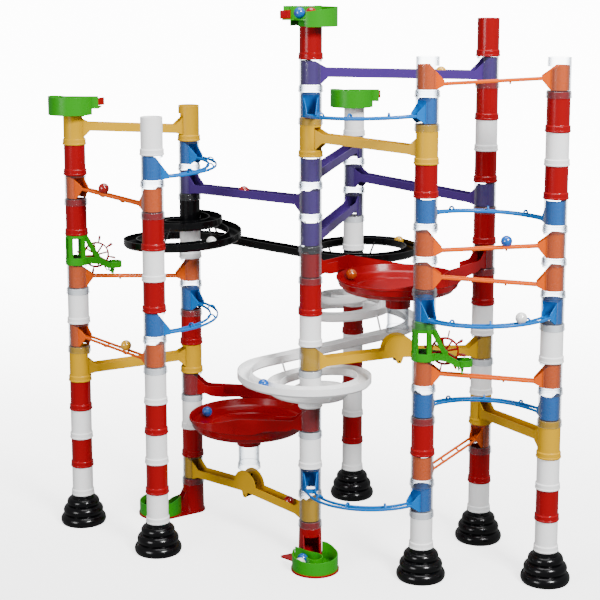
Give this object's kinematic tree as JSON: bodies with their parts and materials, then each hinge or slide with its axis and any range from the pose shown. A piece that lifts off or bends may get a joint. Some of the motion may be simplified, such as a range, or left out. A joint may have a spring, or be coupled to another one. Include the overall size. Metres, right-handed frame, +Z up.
{
  "type": "marble run",
  "caption": "Free-standing toy marble run of stacked tube towers joined by rails, with funnels, spiral tracks, paddle wheels, tipping splitters, starters and trays.",
  "frame": {"origin": "centre of the bounding box in plan, on the ground under the feet", "axes": "+Z up, +X to the right seen from the front, -Y towards the front"},
  "size_m": [0.774, 0.5017, 0.81],
  "materials": {
    "white": "gloss",
    "red": "gloss",
    "clear": "gloss",
    "black": "gloss",
    "orange": "gloss",
    "blue": "gloss",
    "purple": "gloss",
    "yellow": "gloss",
    "green": "gloss",
    "marble_red": "gloss",
    "marble_blue": "gloss",
    "marble_yellow": "gloss",
    "marble_white": "gloss",
    "marble_orange": "gloss"
  },
  "bodies": {
    "stand": {"feet": "black", "tubes_white": "white", "tubes_red": "red", "tubes_clear": "clear", "drop_tubes": "clear", "rails_straight": "orange", "rails_curved": "blue", "rails_long": "purple", "rails_short": "yellow", "rails_splitter": "yellow", "flap_pins": "black", "funnel_bowls": "red", "spiral_black": "black", "spiral_white": "white", "exit_bases": "red", "catch_walls": "green", "starter_trays": "green", "wheel_holders": "green", "wheel_pins": "green", "marbles_red": "marble_red", "marbles_blue": "marble_blue", "marbles_yellow": "marble_yellow", "marbles_orange": "marble_orange", "marbles_white": "marble_white"},
    "wheel_a": {"paddle_wheel_a": "red"},
    "wheel_f": {"paddle_wheel_f": "red"},
    "flap_body_left": {"flap_left": "black"},
    "flap_body_right": {"flap_right": "black"},
    "gate_a": {"starter_gate_a": "red"},
    "gate_d": {"starter_gate_d": "red"},
    "gate_e": {"starter_gate_e": "red"},
    "marble_red": {"marble_red_rolling": "marble_red"},
    "marble_yellow": {"marble_yellow_rolling": "marble_yellow"},
    "marble_blue": {"marble_blue_rolling": "marble_blue"}
  },
  "joints": [
    {"name": "wheel_spin_a", "type": "hinge", "parent": "stand", "child": "wheel_a", "pos_m": [-0.3214, 0.02225, 0.4265], "axis": [-0.3305, 0.9438, 0], "continuous": true},
    {"name": "wheel_spin_f", "type": "hinge", "parent": "stand", "child": "wheel_f", "pos_m": [0.20405, -0.18267, 0.3345], "axis": [0.0264, 0.9997, 0], "continuous": true},
    {"name": "flap_tip_left", "type": "hinge", "parent": "stand", "child": "flap_body_left", "pos_m": [-0.08442, -0.01929, 0.0606], "axis": [0.6794, 0.7337, 0], "range_deg": [-20, 20]},
    {"name": "flap_tip_right", "type": "hinge", "parent": "stand", "child": "flap_body_right", "pos_m": [0.14022, -0.07033, 0.2906], "axis": [0.2957, -0.9553, 0], "range_deg": [-20, 20]},
    {"name": "gate_swing_a", "type": "hinge", "parent": "stand", "child": "gate_a", "pos_m": [-0.31805, 0.02957, 0.661], "axis": [0, 0, 1], "range_deg": [0, 75]},
    {"name": "gate_swing_d", "type": "hinge", "parent": "stand", "child": "gate_d", "pos_m": [-0.01783, -0.12666, 0.799], "axis": [0, 0, 1], "range_deg": [0, 75]},
    {"name": "gate_swing_e", "type": "hinge", "parent": "stand", "child": "gate_e", "pos_m": [0.1031, 0.16673, 0.661], "axis": [0, 0, 1], "range_deg": [0, 75]},
    {"name": "marble_run_red", "type": "slide", "parent": "stand", "child": "marble_red", "axis": [0.7567, -0.6509, -0.061], "range_m": [-0.0283, 0.0707]},
    {"name": "marble_run_yellow", "type": "slide", "parent": "stand", "child": "marble_yellow", "axis": [0.7567, -0.6509, -0.061], "range_m": [-0.0725, 0.0265]},
    {"name": "marble_run_blue", "type": "slide", "parent": "stand", "child": "marble_blue", "axis": [-0.9978, 0.0264, -0.061], "range_m": [-0.0265, 0.0725]}
  ]
}
